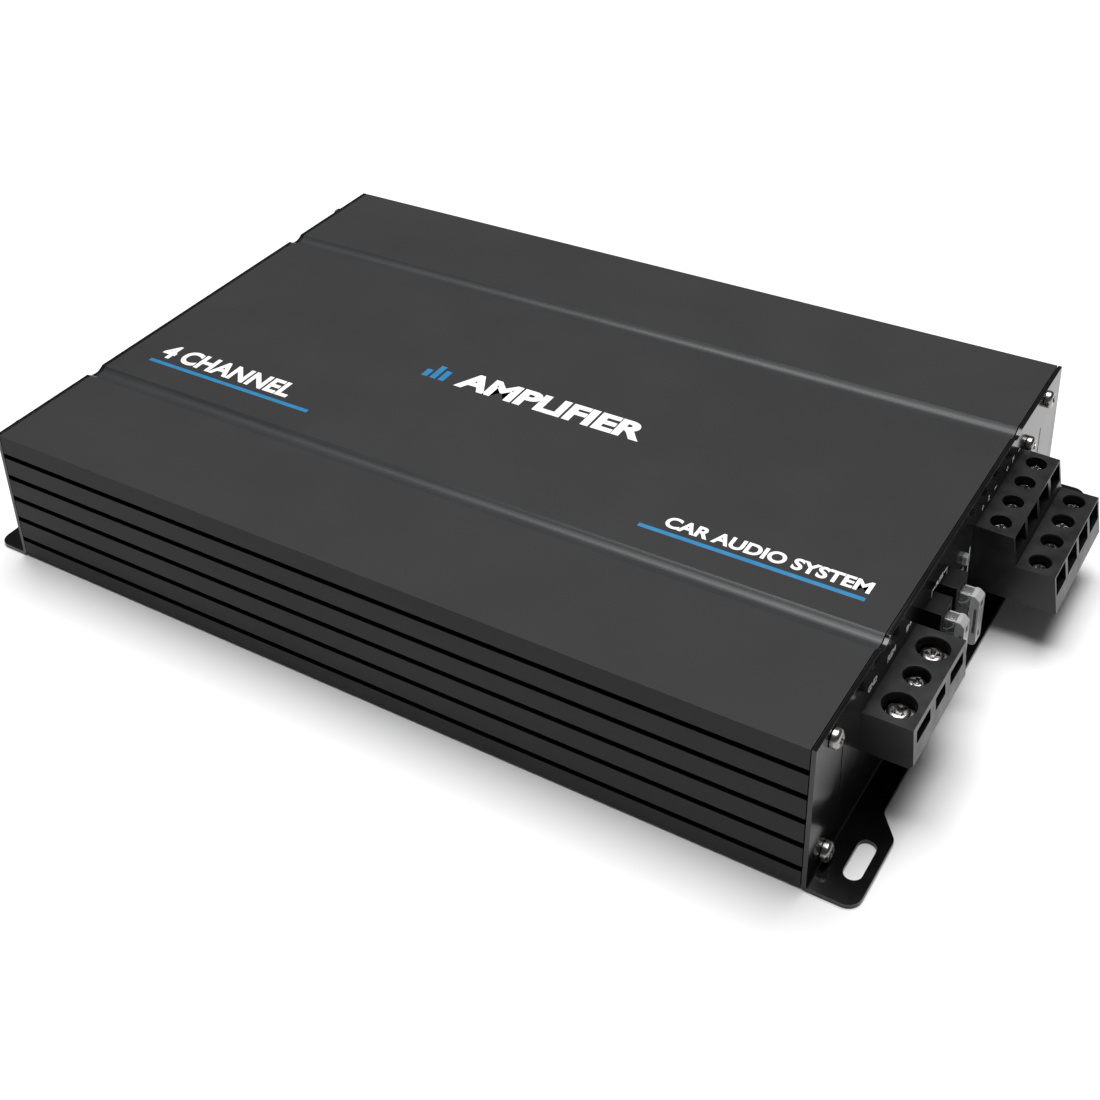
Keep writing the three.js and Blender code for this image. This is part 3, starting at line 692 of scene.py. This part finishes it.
def build_speaker_block():
    low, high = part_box("speaker_terminal_block")
    step = low.z + 13.8 * MM
    top, front_top = high.z, high.z - 0.5 * MM
    outline = [
        (low.x, low.z), (high.x, low.z), (high.x - 2.05 * MM, step), (FACE_X + 14.25 * MM, step),
        (FACE_X + 12.5 * MM, front_top), (FACE_X, top), (low.x, top),
    ]
    obj = new_object("speaker_block_moulding", prism(outline, "Y", low.y, high.y), block_plastic)
    poles = []
    tiers = {"upper": (top, 14.4, 1.1, 8), "lower": (step, 29, 0.6, 7.5)}
    for tier, (tier_top, face, mouth_top, floor) in tiers.items():
        for i in range(4):
            centre = centre_of(f"speaker_screw_{tier}_{i + 1}")
            poles.append(dict(
                x=centre.x, y=centre.y, top=tier_top, face=FACE_X + face * MM, well=3.4 * MM, mouth=9.8 * MM,
                mouth_top=mouth_top * MM, ceiling=3 * MM, floor=floor * MM, plate=6 * MM, shank=1.3 * MM))
    carve_poles(obj, poles)
    soften(obj, 0.25 * MM, 3)
    stand_in(obj, ROOT, "terminal_plastic", "speaker_terminal_block")


def build_clamps():
    for node in sorted(n for n in frame["nodes"] if "_clamp_" in n):
        refined(node, clamp_tin, "terminal_metal", 0.16 * MM)


# ---------------------------------------------------------------- fuses and lamp

def build_fuse(side):
    low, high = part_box(f"fuse_body_{side}")
    y = (low.y + high.y) / 2
    build_fuse_body(side, low, high, y)
    build_fuse_element(side, y)
    refined(f"fuse_holder_{side}", holder_plastic, "holder_plastic", 0.3 * MM, 3)


def build_fuse_body(side, low, high, y):
    """Clear blade-fuse housing: a frosted grip across the end of a thinner, hollow skirt."""
    node = f"fuse_body_{side}"
    grip_low = high.x - 3.1 * MM
    skirt = fuse_skirt(side, low, high, y, grip_low)
    stand_in(skirt, body_of(node), "fuse_plastic", node)
    stand_in(fuse_grip(side, low, high, y, grip_low), body_of(node), "fuse_plastic")
    stand_in(fuse_ribs(side, low, high, y, grip_low), body_of(node), "fuse_plastic")


def fuse_skirt(side, low, high, y, grip_low):
    """Thin clear walls round the strip."""
    outer, inner, inset, over = 2.2 * MM, 1.1 * MM, 0.5 * MM, 1 * MM
    deep = inset + 0.7 * MM
    walls = block((low.x, y - outer, low.z + inset), (grip_low, y + outer, high.z - inset))
    space = block((low.x - over, y - inner, low.z + deep), (grip_low + over, y + inner, high.z - deep))
    skirt = new_object(f"fuse_skirt_{side}", walls, fuse_clear)
    carve(skirt, space)
    return soften(skirt, 0.25 * MM, 3)


def fuse_ribs(side, low, high, y, grip_low):
    """Mouldings on the skirt: rails on its narrow sides and an arch at each corner of its wide sides."""
    rail, reach = 0.28 * MM, 3.3 * MM
    start, end = low.x + 5.6 * MM, grip_low + 0.2 * MM
    pieces = []
    for edge in (y - 2.0 * MM, y + 2.0 * MM):
        for z in (low.z + 0.5 * MM, high.z - 0.5 * MM):
            pieces.append(block((start, edge - rail, z - rail), (end, edge + rail, z + rail)))
    for z, side_z in ((low.z + 1.0 * MM, 1), (high.z - 1.0 * MM, -1)):
        outline = arch((start - 0.3 * MM, z), reach, 0.45 * MM, side_z)
        for wall in (y - 2.2 * MM, y + 2.2 * MM):
            pieces.append(prism(outline, "Y", wall - 0.22 * MM, wall + 0.22 * MM))
    return soften(new_object(f"fuse_ribs_{side}", merged(*pieces), fuse_frost), 0.1 * MM)


def arch(centre, radius, width, upwards, steps=10):
    """Outline of a quarter ring in the XZ plane."""
    angles = [math.radians(90 * k / steps) for k in range(steps + 1)]
    arms = [(radius, a) for a in angles] + [(radius - width, a) for a in reversed(angles)]
    return [(centre[0] + r * math.cos(a), centre[1] + upwards * r * math.sin(a)) for r, a in arms]


def fuse_grip(side, low, high, y, grip_low):
    """Grip with bevelled ends, two test holes in its end and a groove down each wide side."""
    tip, small, large = high.x, 0.8 * MM, 1.6 * MM
    middle = (low.z + high.z) / 2
    outline = [
        (grip_low, low.z), (tip - small, low.z), (tip, low.z + small),
        (tip, high.z - 0.9 * large), (tip - large, high.z), (grip_low, high.z),
    ]
    grip = new_object(f"fuse_grip_{side}", prism(outline, "Y", low.y, high.y), fuse_frost)
    half, tall, half_groove, over = 0.75 * MM, 1.1 * MM, 4.8 * MM, 1 * MM
    probes = [
        block((tip - 1.8 * MM, y - half, z - tall), (tip + over, y + half, z + tall))
        for z in (middle - 6 * MM, middle + 6 * MM)
    ]
    grooves = [
        block((tip - 1.5 * MM, a, middle - half_groove), (tip - 0.7 * MM, b, middle + half_groove))
        for a, b in ((low.y - over, low.y + 0.9 * MM), (high.y - 0.9 * MM, high.y + over))
    ]
    # The cut faces of the test holes and grooves take the grey painted shade.
    carve(grip, merged(*probes), merged(*grooves), lining=fuse_shade)
    return soften(grip, 0.3 * MM, 3)


def build_fuse_element(side, y):
    """Zinc blades joined by a thin S-shaped link."""
    low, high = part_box(f"fuse_element_{side}")
    blade, chamfer, link = 5.2 * MM, 0.9 * MM, 0.55 * MM
    tip, end = high.x, low.x
    pieces = []
    for z0, z1 in ((low.z, low.z + blade), (high.z - blade, high.z)):
        outline = [
            (end, z0 + chamfer), (end + chamfer, z0), (tip, z0),
            (tip, z1), (end + chamfer, z1), (end, z1 - chamfer),
        ]
        pieces.append(prism(outline, "Y", y - 0.33 * MM, y + 0.33 * MM))
    overlap, swing, steps = 0.4 * MM, 2.6 * MM, 20
    start, centre_x = low.z + blade - overlap, tip - 4.2 * MM
    span = high.z - low.z - 2 * blade + 2 * overlap
    path = []
    for k in range(steps + 1):
        t = k / steps
        path.append((centre_x + swing * math.sin(2 * math.pi * t), start + span * t))
    side_a = [(x - link, z) for x, z in path]
    side_b = [(x + link, z) for x, z in reversed(path)]
    pieces.append(prism(side_a + side_b, "Y", y - 0.25 * MM, y + 0.25 * MM))
    obj = new_object(f"fuse_strip_{side}", merged(*pieces), fuse_zinc)
    soften(obj, 0.08 * MM, 1)
    stand_in(obj, body_of(f"fuse_element_{side}"), "fuse_metal", f"fuse_element_{side}")


def build_lamp():
    refined("power_lamp", lamp_milk, "lamp_lens", 0.55 * MM, 4)


# ---------------------------------------------------------------- input end

def build_socket(node, insert):
    """Phono socket: plated barrel, coloured insert and centre contact."""
    low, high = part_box(node)
    radius, depth = (high.y - low.y) / 2, high.x - low.x
    wall, bore = 0.75 * MM, 1.7 * MM
    barrel = lathe([
        (radius - wall, depth), (radius, depth), (radius, 3.2 * MM), (radius - 0.35 * MM, 2.8 * MM),
        (radius - 0.35 * MM, 2.2 * MM), (radius, 1.8 * MM), (radius, 0.5 * MM), (radius - 0.45 * MM, 0),
        (radius - wall, 0.3 * MM),
    ], 56)
    inside = radius - wall
    core = lathe([
        (bore, depth), (inside, depth), (inside, 0.9 * MM), (inside - 0.3 * MM, 0.6 * MM),
        (bore + 0.5 * MM, 0.6 * MM), (bore, 1.1 * MM),
    ], 56)
    contact = lathe([
        (bore - 0.35 * MM, depth), (bore, depth), (bore, 2.0 * MM), (bore - 0.35 * MM, 2.0 * MM),
    ], 32)
    place = shift(low.x, *centre_of(node).yz)
    shell = new_object(f"{node}_barrel", moved(barrel, TO_X, place), socket_gold)
    soften(shell, 0.12 * MM, 2, 40)
    stand_in(shell, ROOT, "socket_metal", node)
    filling = new_object(f"{node}_insert", moved(core, TO_X, place), insert)
    stand_in(filling, ROOT, "terminal_plastic")
    lining = new_object(f"{node}_contact", moved(contact, TO_X, place), socket_gold)
    stand_in(lining, ROOT, "socket_metal")
    build_socket_collar(node, radius)


def build_socket_collar(node, radius):
    """Moulded collar round the foot of a barrel, where it leaves the plate."""
    outer, inner, thick, lip = radius + 2.4 * MM, radius + 0.05 * MM, 1.5 * MM, 0.5 * MM
    profile = [(inner, 0), (outer, 0), (outer, lip - thick), (outer - lip, -thick), (inner, -thick)]
    place = shift(INPUT_X - 0.02 * MM, *centre_of(node).yz)
    collar = new_object(f"{node}_collar", moved(lathe(profile, 56), TO_X, place), block_plastic)
    soften(collar, 0.15 * MM)
    stand_in(collar, ROOT, "terminal_plastic")


def build_sockets():
    for i in (1, 2):
        build_socket(f"phono_socket_{i}_low", socket_red)
        build_socket(f"phono_socket_{i}_high", socket_white)
    refined("phono_housing", block_plastic, "terminal_plastic", 0.3 * MM)


def build_knob(name):
    """Fluted knob with a domed face and a painted pointer."""
    node = f"{name}_knob"
    low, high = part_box(node)
    centre = centre_of(node)
    radius = (high.y - low.y) / 2
    depth = INPUT_X + 1 * MM - low.x
    flutes = 18

    def fluted(angle, at):
        return 1 - 0.05 * (0.5 + 0.5 * math.cos(flutes * angle)) ** 2 if at > radius * 0.9 else 1

    shaft = 1.7 * MM
    body = lathe([
        (0, high.x - low.x), (shaft, high.x - low.x), (shaft, depth), (radius, depth), (radius, 0.9 * MM),
        (radius * 0.96, 0.45 * MM), (radius * 0.86, 0.12 * MM), (radius * 0.7, 0), (0, 0.15 * MM),
    ], flutes * 10, fluted)
    place = shift(low.x, centre.y, centre.z)
    knob = new_object(f"{name}_knob_grip", moved(body, TO_X, place), knob_plastic)
    groove = block(
        (low.x - 1 * MM, centre.y - 0.5 * MM, centre.z + 0.8 * MM),
        (low.x + 0.5 * MM, centre.y + 0.5 * MM, centre.z + radius + 1 * MM))
    carve(knob, groove)
    stand_in(knob, node, "knob_plastic", node)
    paint = new_object(f"{name}_knob_pointer", block(
        (low.x + 0.42 * MM, centre.y - 0.46 * MM, centre.z + 0.9 * MM),
        (low.x + 0.58 * MM, centre.y + 0.46 * MM, centre.z + radius * 0.88)), ink_white)
    stand_in(paint, node, "knob_plastic")


def build_switch(name):
    """Slide switch button with three grip ridges."""
    node = f"{name}_switch"
    low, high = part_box(node)
    ridge, pitch = 0.45 * MM, 1.15 * MM
    crest, foot, middle = low.x, low.x + 0.6 * MM, (low.y + high.y) / 2
    outline = [(high.x, low.y), (foot, low.y)]
    for k in (-1, 0, 1):
        y = middle + k * pitch
        outline += [(foot, y - ridge), (crest, y - ridge * 0.5), (crest, y + ridge * 0.5), (foot, y + ridge)]
    outline += [(foot, high.y), (high.x, high.y)]
    bm = prism(outline, "Z", low.z, high.z)
    button = new_object(f"{name}_switch_button", bm, block_plastic)
    soften(button, 0.12 * MM)
    stand_in(button, node, "terminal_plastic", node)


def build_controls():
    for name in ("front_gain", "rear_gain", "crossover"):
        build_knob(name)
    for name in ("front_filter", "rear_filter"):
        build_switch(name)
    refined("control_block", knob_plastic, "knob_plastic", 0.3 * MM)


# ---------------------------------------------------------------- printing

INK = 0.03 * MM


def print_boxes(name, boxes, material, slot):
    """One piece of thin printed shapes."""
    obj = new_object(name, merged(*(block(low, high) for low, high in boxes)), material)
    return stand_in(obj, ROOT, slot)


def lettering(name, text, height, width, matrix, material, slot, weight=0.0):
    """Raised plain capitals, scaled to a height and a total width, in the plane of a matrix."""
    curve = bpy.data.curves.new(name, "FONT")
    curve.body = text
    curve.extrude = 0.5
    curve.offset = weight
    curve.resolution_u = 6
    temp = bpy.data.objects.new("text", curve)
    bpy.context.scene.collection.objects.link(temp)
    bpy.context.view_layer.update()
    graph = bpy.context.evaluated_depsgraph_get()
    mesh = bpy.data.meshes.new_from_object(temp.evaluated_get(graph))
    bpy.data.objects.remove(temp)
    xs, ys = [v.co.x for v in mesh.vertices], [v.co.y for v in mesh.vertices]
    spans = max(xs) - min(xs), max(ys) - min(ys)
    size = Matrix.Diagonal((width / spans[0], height / spans[1], INK, 1))
    mesh.transform(matrix @ size @ shift(-min(xs), -min(ys), 0.5))
    return stand_in(object_of(name, mesh, material), ROOT, slot)


def on_top(x, y):
    """Point on the top face, from the near corner of the input end."""
    return CASE_X + x * MM, NEAR_Y + y * MM


def top_line(name, x0, x1, y, width):
    (ax, ay), (bx, by) = on_top(x0, y - width / 2), on_top(x1, y + width / 2)
    print_boxes(name, [((ax, ay, TOP_Z), (bx, by, TOP_Z + INK))], ink_blue, "case_aluminium")


def top_text(name, text, x0, x1, y0, y1, weight):
    matrix = shift(*on_top(x0, y0), TOP_Z)
    lettering(name, text, (y1 - y0) * MM, (x1 - x0) * MM, matrix, ink_white, "case_aluminium", weight)


def build_top_printing():
    top_line("left_blue_line", 11.6, 86.8, 63.1, 1.7)
    top_line("right_blue_line", 220.5, 296, 62.2, 1.7)
    top_text("left_title", "4 CHANNEL", 12.5, 74, 66.2, 75, 0.035)
    top_text("right_title", "CAR AUDIO SYSTEM", 227.5, 296, 65, 70.6, 0.035)
    top_text("middle_title", "AMPLIFIER", 123, 198.5, 101.2, 111.4, 0.045)
    bars = []
    for k, height in enumerate((4.6, 8.4, 6.4)):
        (ax, ay), (bx, by) = on_top(108.6 + 3.6 * k, 101.6), on_top(111 + 3.6 * k, 101.6 + height)
        bars.append(((ax, ay, TOP_Z), (bx, by, TOP_Z + INK)))
    print_boxes("middle_level_mark", bars, ink_blue, "case_aluminium")


def on_face(y, z):
    return NEAR_Y + y * MM, z * MM


def face_box(y0, y1, z0, z1):
    """Printed bar on the terminal plate."""
    (ay, az), (by, bz) = on_face(y0, z0), on_face(y1, z1)
    return (FACE_X, ay, az), (FACE_X + INK, by, bz)


FACE_FRAME = Matrix(((0, 0, 1, 0), (1, 0, 0, 0), (0, 1, 0, 0), (0, 0, 0, 1)))
INPUT_FRAME = Matrix(((0, 0, -1, 0), (-1, 0, 0, 0), (0, 1, 0, 0), (0, 0, 0, 1)))


def face_text(name, text, y0, y1, z0, z1):
    matrix = shift(FACE_X, *on_face(y0, z0)) @ FACE_FRAME
    lettering(name, text, (z1 - z0) * MM, (y1 - y0) * MM, matrix, ink_white, "plate_steel", 0.03)


def build_terminal_printing():
    face_text("label_ground", "GND", 36, 42.4, 42.6, 44.9)
    face_text("label_remote", "REM", 50.4, 56.4, 42.6, 44.9)
    face_text("label_battery", "B+", 64.8, 68.8, 42.8, 45)
    face_text("label_fuse", "FUSE", 89.2, 95.4, 41.7, 43.6)
    face_text("label_lamp", "ON", 112.4, 116.6, 27.6, 30.4)
    face_text("label_speaker_rear", "R", 136.2, 138, 43, 45.2)
    face_text("label_speaker_front", "F", 160.4, 162, 43, 45.2)
    bars = [
        face_box(86, 88.6, 42.4, 43), face_box(85.8, 86.4, 38.9, 43), face_box(96, 98.8, 42.4, 43),
        face_box(98.6, 99.2, 38.9, 43), face_box(121.3, 122.1, 20.5, 34.7),
    ]
    for y in (131.1, 155.2):
        bars += [face_box(y - 1, y + 1, 43.8, 44.3), face_box(y - 0.25, y + 0.25, 43, 45.1)]
    for y in (143.2, 167.3):
        bars.append(face_box(y - 1, y + 1, 43.8, 44.3))
    print_boxes("terminal_print", bars, ink_white, "plate_steel")


def input_text(name, text, y0, y1, z0, z1):
    """Lettering on the input plate, read from outside, so it runs towards -Y."""
    matrix = shift(INPUT_X, NEAR_Y + y1 * MM, z0 * MM) @ INPUT_FRAME
    lettering(name, text, (z1 - z0) * MM, (y1 - y0) * MM, matrix, ink_white, "plate_steel", 0.03)


def build_input_printing():
    marks = []
    for name in ("front_gain", "rear_gain", "crossover"):
        centre = centre_of(f"{name}_knob")
        for k in range(11):
            angle = math.radians(-140 + 28 * k)
            dot = block((-INK, -0.25 * MM, 6 * MM), (0, 0.25 * MM, 7.2 * MM))
            marks.append(moved(dot, Matrix.Rotation(angle, 4, "X"), shift(INPUT_X, centre.y, centre.z)))
    for name in ("front_filter", "rear_filter"):
        centre = centre_of(f"{name}_switch")
        for y in (centre.y, centre.y + 4 * MM):
            tick = block((-INK, -0.25 * MM, 3.4 * MM), (0, 0.25 * MM, 4.8 * MM))
            marks.append(moved(tick, shift(INPUT_X, y, centre.z)))
    stand_in(new_object("input_print", merged(*marks), ink_white), ROOT, "plate_steel")
    for i, (name, text, half) in enumerate((
        ("front_gain_knob", "LEVEL", 4.4), ("rear_gain_knob", "LEVEL", 4.4), ("crossover_knob", "FREQ", 3.6),
        ("front_filter_switch", "FILTER", 5), ("rear_filter_switch", "FILTER", 5),
    )):
        y = (centre_of(name).y - NEAR_Y) / MM
        offset = 2 if name.endswith("switch") else 0
        input_text(f"label_control_{i + 1}", text, y - half + offset, y + half + offset, 18.6, 20.6)
    y = (centre_of("phono_socket_1_low").y + centre_of("phono_socket_2_low").y) / 2 - NEAR_Y
    input_text("label_inputs", "INPUT", y / MM - 4.5, y / MM + 4.5, 12.4, 14.6)


# ---------------------------------------------------------------- studio

def area_light(name, place, aim, size, energy):
    data = bpy.data.lights.new(name, "AREA")
    data.shape = "RECTANGLE"
    data.size, data.size_y = size
    data.energy = energy
    lamp = bpy.data.objects.new(name, data)
    bpy.context.scene.collection.objects.link(lamp)
    lamp.location = place
    lamp.rotation_euler = (Vector(aim) - Vector(place)).to_track_quat("-Z", "Y").to_euler()


def build_floor():
    """Plain pale floor that the object stands on."""
    material, tree, shader = blank("pale_floor", Specular_IOR_Level=0.2)
    paper = noise(tree, 2 * MM, 2)
    color = blend_colors(tree, spread(tree, noise(tree, 0.4), 0, 1), (0.86, 0.86, 0.86), (0.88, 0.88, 0.88))
    tree.links.new(color, shader.inputs["Base Color"])
    tree.links.new(spread(tree, paper, 0.6, 0.7), shader.inputs["Roughness"])
    half = 6.0
    floor = new_object("floor", block((-half, -half, cad_low.z - 0.02), (half, half, cad_low.z)), material)


def build_studio():
    world = bpy.data.worlds.new("studio")
    world.use_nodes = True
    sky = world.node_tree.nodes["Background"]
    sky.inputs["Color"].default_value = (1, 1, 1, 1)
    sky.inputs["Strength"].default_value = 0.10
    bpy.context.scene.world = world
    area_light("overhead_softbox", (-0.2, 0.5, 3.5), (0, 0, 0), (2.6, 2.6), 190)
    bpy.context.scene.view_settings.view_transform = "Standard"


def build_camera():
    data = bpy.data.cameras.new("camera")
    data.sensor_width = 36
    data.lens = CAMERA_LENS
    data.shift_y = CAMERA_SHIFT_Y
    data.clip_start, data.clip_end = 0.01, 50
    camera = bpy.data.objects.new("camera", data)
    bpy.context.scene.collection.objects.link(camera)
    look = (Vector(CAMERA_AIM) - Vector(CAMERA_AT)).to_track_quat("-Z", "Y").to_matrix().to_4x4()
    roll = Matrix.Rotation(math.radians(-CAMERA_ROLL), 4, "Z")
    camera.matrix_world = shift(*CAMERA_AT) @ look @ roll
    bpy.context.scene.camera = camera


build_camera()
build_studio()
build_floor()
build_case()
build_inside()
build_power_block()
build_speaker_block()
build_clamps()
build_clamp_screws()
build_fixing_screws()
for fuse_side in ("near", "far"):
    build_fuse(fuse_side)
build_lamp()
build_sockets()
build_controls()
build_top_printing()
build_terminal_printing()
build_input_printing()
